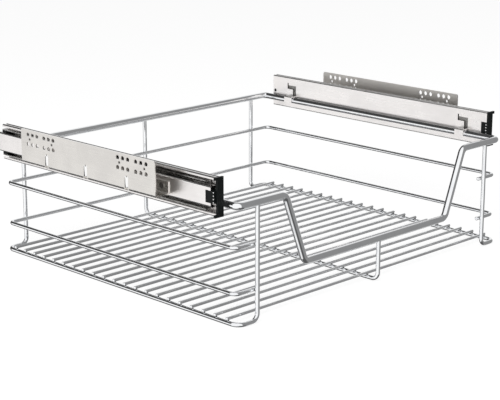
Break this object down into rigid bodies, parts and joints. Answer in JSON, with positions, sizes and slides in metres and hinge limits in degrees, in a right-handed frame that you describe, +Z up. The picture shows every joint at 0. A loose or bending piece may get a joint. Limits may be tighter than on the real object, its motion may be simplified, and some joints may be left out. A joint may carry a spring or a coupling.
{
  "type": "pull out cabinet basket",
  "caption": "Chromed wire basket with a dipped front handle, hung between two full-extension ball-bearing slides on folded brackets that screw inside a cabinet.",
  "frame": {"origin": "middle of the footprint, on the plane that the basket's bottom wires rest on", "axes": "+Z up; +X to the right as seen by someone who stands in front and faces the basket; -Y points to that person, and the basket pulls out along -Y"},
  "size_m": [0.562, 0.442, 0.1853],
  "materials": {
    "chrome_wire": "bright chrome plating over drawn steel wire",
    "zinc_slide": "bright zinc plating on roll-formed steel",
    "zinc_bracket": "satin zinc plating on pressed steel",
    "zinc_rivet": "zinc plated, slightly dull",
    "black_plastic": "moulded black plastic, satin",
    "steel_cage": "thin plain steel strip, greased",
    "steel_ball": "polished bearing steel"
  },
  "bodies": {
    "cabinet_side": {"left_cabinet_bracket": "zinc_bracket", "right_cabinet_bracket": "zinc_bracket", "left_cabinet_member": "zinc_slide", "right_cabinet_member": "zinc_slide", "left_bracket_rivets": "zinc_rivet", "right_bracket_rivets": "zinc_rivet"},
    "basket": {"top_frame": "chrome_wire", "left_side_wire": "chrome_wire", "right_side_wire": "chrome_wire", "centre_wire": "chrome_wire", "lower_rail_wire": "chrome_wire", "upper_rail_wire": "chrome_wire", "floor_wire_01": "chrome_wire", "floor_wire_02": "chrome_wire", "floor_wire_03": "chrome_wire", "floor_wire_04": "chrome_wire", "floor_wire_05": "chrome_wire", "floor_wire_06": "chrome_wire", "floor_wire_07": "chrome_wire", "floor_wire_08": "chrome_wire", "floor_wire_09": "chrome_wire", "floor_wire_10": "chrome_wire", "floor_wire_11": "chrome_wire", "floor_wire_12": "chrome_wire", "floor_wire_13": "chrome_wire", "floor_wire_14": "chrome_wire", "floor_wire_15": "chrome_wire", "floor_wire_16": "chrome_wire", "floor_wire_17": "chrome_wire", "floor_wire_18": "chrome_wire", "floor_wire_19": "chrome_wire", "floor_wire_20": "chrome_wire", "floor_wire_21": "chrome_wire", "left_basket_member": "zinc_slide", "right_basket_member": "zinc_slide", "left_front_cap": "black_plastic", "right_front_cap": "black_plastic"},
    "left_intermediate": {"left_intermediate_member": "zinc_slide", "left_intermediate_bumper": "black_plastic"},
    "left_inner_cage": {"left_inner_ball_cage": "steel_cage", "left_inner_balls": "steel_ball"},
    "left_outer_cage": {"left_outer_ball_cage": "steel_cage", "left_outer_balls": "steel_ball"},
    "right_intermediate": {"right_intermediate_member": "zinc_slide", "right_intermediate_bumper": "black_plastic"},
    "right_inner_cage": {"right_inner_ball_cage": "steel_cage", "right_inner_balls": "steel_ball"},
    "right_outer_cage": {"right_outer_ball_cage": "steel_cage", "right_outer_balls": "steel_ball"}
  },
  "joints": [
    {"name": "basket_slide", "type": "slide", "parent": "cabinet_side", "child": "basket", "axis": [0, -1, 0], "range_m": [0, 0.4]},
    {"name": "left_intermediate_slide", "type": "slide", "parent": "cabinet_side", "child": "left_intermediate", "axis": [0, -1, 0], "range_m": [0, 0.2]},
    {"name": "left_inner_cage_slide", "type": "slide", "parent": "cabinet_side", "child": "left_inner_cage", "axis": [0, -1, 0], "range_m": [0, 0.1]},
    {"name": "left_outer_cage_slide", "type": "slide", "parent": "cabinet_side", "child": "left_outer_cage", "axis": [0, -1, 0], "range_m": [0, 0.3]},
    {"name": "right_intermediate_slide", "type": "slide", "parent": "cabinet_side", "child": "right_intermediate", "axis": [0, -1, 0], "range_m": [0, 0.2]},
    {"name": "right_inner_cage_slide", "type": "slide", "parent": "cabinet_side", "child": "right_inner_cage", "axis": [0, -1, 0], "range_m": [0, 0.1]},
    {"name": "right_outer_cage_slide", "type": "slide", "parent": "cabinet_side", "child": "right_outer_cage", "axis": [0, -1, 0], "range_m": [0, 0.3]}
  ],
  "couplings": [
    {"joint": "left_intermediate_slide", "follows": "basket_slide", "ratio": 0.5},
    {"joint": "left_inner_cage_slide", "follows": "basket_slide", "ratio": 0.25},
    {"joint": "left_outer_cage_slide", "follows": "basket_slide", "ratio": 0.75},
    {"joint": "right_intermediate_slide", "follows": "basket_slide", "ratio": 0.5},
    {"joint": "right_inner_cage_slide", "follows": "basket_slide", "ratio": 0.25},
    {"joint": "right_outer_cage_slide", "follows": "basket_slide", "ratio": 0.75}
  ]
}
